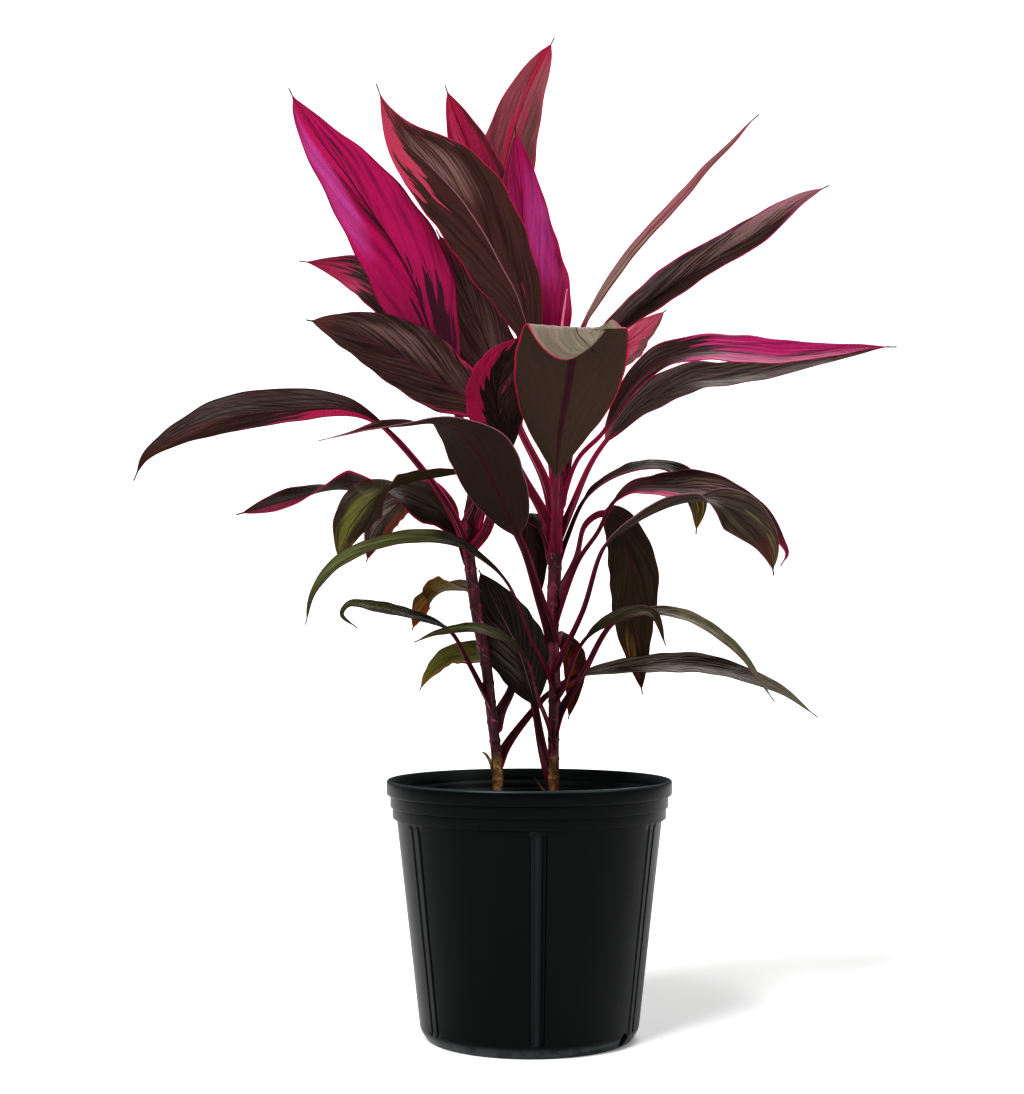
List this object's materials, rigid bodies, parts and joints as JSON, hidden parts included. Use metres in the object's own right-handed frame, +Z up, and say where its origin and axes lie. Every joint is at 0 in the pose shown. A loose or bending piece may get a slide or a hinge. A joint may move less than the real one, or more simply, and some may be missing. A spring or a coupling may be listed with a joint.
{
  "type": "potted red sister ti plant",
  "caption": "Red-leaved ti plant with two upright canes and long arching, wavy-edged leaves, standing in a black moulded nursery pot.",
  "frame": {"origin": "centre of the pot's flat base, on the surface it stands on", "axes": "+Z up along the pot's axis; -Y is the plant's front, and the canes stand side by side along X"},
  "size_m": [0.7118, 0.4569, 0.9943],
  "materials": {
    "pot_plastic": "satin black injection-moulded polypropylene, faintly blue-grey where light grazes it",
    "soil": "matt, crumbly bark and peat potting mix",
    "cane": "matt tan bark with ring scars, maroon sheaths above",
    "twig": "dry matt bark",
    "leaf_magenta": "satin, waxy, hot magenta with a dark midrib",
    "leaf_bronze": "satin, waxy, dark bronze brown with pink edges",
    "leaf_green": "satin, grey-green with fine lengthwise veins",
    "leaf_autumn": "satin, old leaf turning orange and olive"
  },
  "bodies": {
    "root": {"pot": "pot_plastic", "potting_soil": "soil", "cane_left": "cane", "cane_right": "cane", "dry_twig": "twig", "new_leaf_spear": "leaf_magenta", "leaf_left_01": "leaf_green", "leaf_left_02": "leaf_green", "leaf_left_03": "leaf_green", "leaf_left_04": "leaf_autumn", "leaf_left_05": "leaf_bronze", "leaf_left_06": "leaf_bronze", "leaf_left_07": "leaf_bronze", "leaf_left_08": "leaf_autumn", "leaf_left_09": "leaf_bronze", "leaf_left_10": "leaf_bronze", "leaf_left_11": "leaf_magenta", "leaf_right_01": "leaf_bronze", "leaf_right_02": "leaf_green", "leaf_right_03": "leaf_green", "leaf_right_04": "leaf_green", "leaf_right_05": "leaf_green", "leaf_right_06": "leaf_green", "leaf_right_07": "leaf_autumn", "leaf_right_08": "leaf_bronze", "leaf_right_09": "leaf_bronze", "leaf_right_10": "leaf_autumn", "leaf_right_11": "leaf_autumn", "leaf_right_12": "leaf_bronze", "leaf_right_13": "leaf_bronze", "leaf_right_14": "leaf_magenta", "leaf_right_15": "leaf_bronze", "leaf_right_16": "leaf_magenta", "leaf_right_17": "leaf_bronze", "leaf_right_18": "leaf_bronze", "leaf_right_19": "leaf_magenta", "leaf_right_20": "leaf_magenta", "leaf_right_21": "leaf_magenta", "leaf_right_22": "leaf_magenta", "leaf_right_23": "leaf_magenta", "leaf_right_24": "leaf_bronze"}
  },
  "joints": []
}
